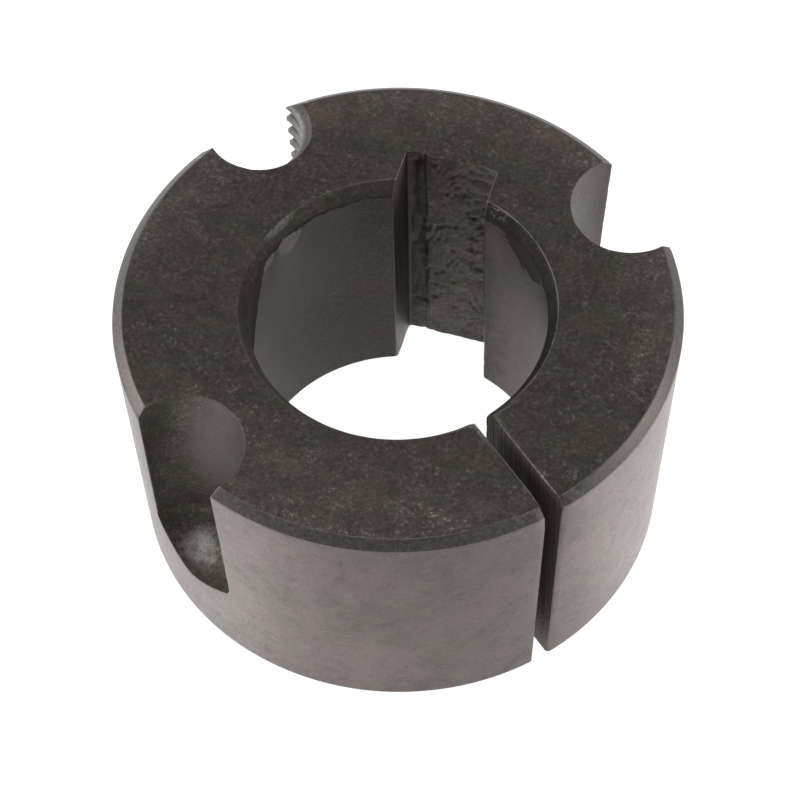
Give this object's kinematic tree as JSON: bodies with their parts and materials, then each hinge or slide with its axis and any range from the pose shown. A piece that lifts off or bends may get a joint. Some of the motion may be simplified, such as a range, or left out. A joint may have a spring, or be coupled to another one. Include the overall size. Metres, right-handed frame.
{
  "type": "taper bush",
  "caption": "Split iron bush, tapered outside and bored with a keyway, with half-round screw holes in its large end, for clamping a hub on a shaft.",
  "frame": {"origin": "centre of the bore in the plane of the small-end face", "axes": "+Z along the bore from the small end to the large end, +Y from the axis to the middle of the keyway"},
  "size_m": [0.0476, 0.0476, 0.0254],
  "materials": {
    "dark_iron": "dark blued finish, satin turned taper and bore, matt mottled faces"
  },
  "bodies": {
    "root": {"taper_bush": "dark_iron"}
  },
  "joints": []
}
